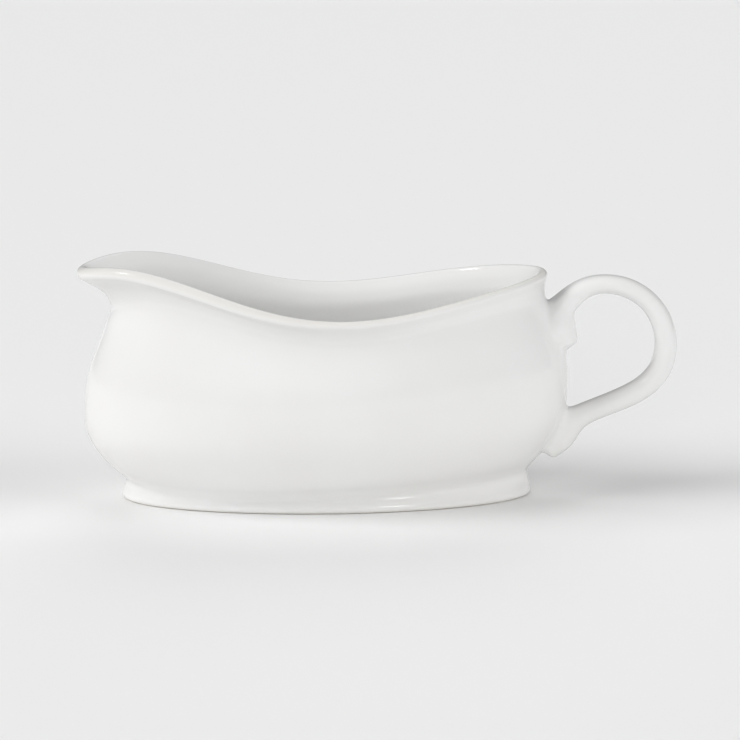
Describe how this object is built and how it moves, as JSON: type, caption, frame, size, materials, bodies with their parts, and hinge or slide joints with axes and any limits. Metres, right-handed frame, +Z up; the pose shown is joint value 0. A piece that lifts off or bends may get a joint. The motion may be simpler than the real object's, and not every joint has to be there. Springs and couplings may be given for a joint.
{
  "type": "gravy boat",
  "caption": "Oval white glazed ceramic gravy boat with a waved rim, a pulled pouring spout at one end, a looped handle at the other and an oval foot ring.",
  "frame": {"origin": "on the table, under the middle of the object's length and width", "axes": "+Z up; -X the way the spout pours, +X towards the handle; +Y across"},
  "size_m": [0.2252, 0.092, 0.0907],
  "materials": {
    "white_glaze": "gloss white glaze over porcelain",
    "bare_porcelain": "unglazed and matt, on the standing face of the foot ring"
  },
  "bodies": {
    "root": {"bowl": "white_glaze", "foot_ring": "white_glaze", "handle": "white_glaze"}
  },
  "joints": []
}
